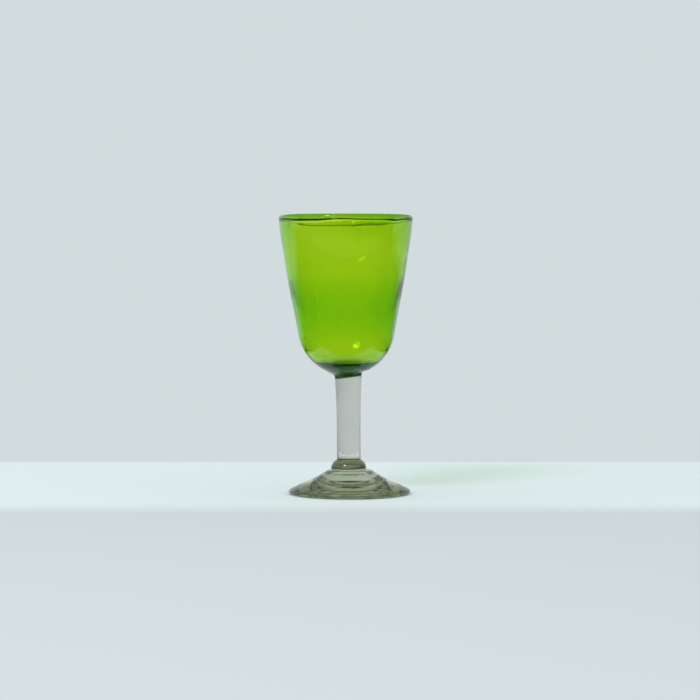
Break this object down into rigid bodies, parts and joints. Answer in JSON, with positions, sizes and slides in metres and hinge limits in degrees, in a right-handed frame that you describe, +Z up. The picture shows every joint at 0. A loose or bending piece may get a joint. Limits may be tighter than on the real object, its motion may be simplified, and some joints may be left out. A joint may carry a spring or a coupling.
{
  "type": "goblet",
  "caption": "Hand-blown drinking goblet: a deep green bowl with a rolled lip, on a solid clear stem, a small button knop and a wide conical foot.",
  "frame": {"origin": "on the table, under the middle of the rim; the middle of the foot is 2.35 mm towards +X, because the gathers are fused a little out of line", "axes": "+Z up through the middle of the rim; -Y is the front, where the uneven rim stands highest"},
  "size_m": [0.0816, 0.0816, 0.17],
  "materials": {
    "leaf_green_glass": "fire-polished, bright leaf green, a few seed bubbles",
    "clear_glass": "fire-polished, clear with a faint grey tint",
    "pale_grey_green_glass": "fire-polished, pale grey-green",
    "grey_green_glass": "fire-polished, smoky grey-green, ground flat on the resting ring"
  },
  "bodies": {
    "root": {"bowl": "leaf_green_glass", "stem": "clear_glass", "knop": "pale_grey_green_glass", "foot": "grey_green_glass"}
  },
  "joints": []
}
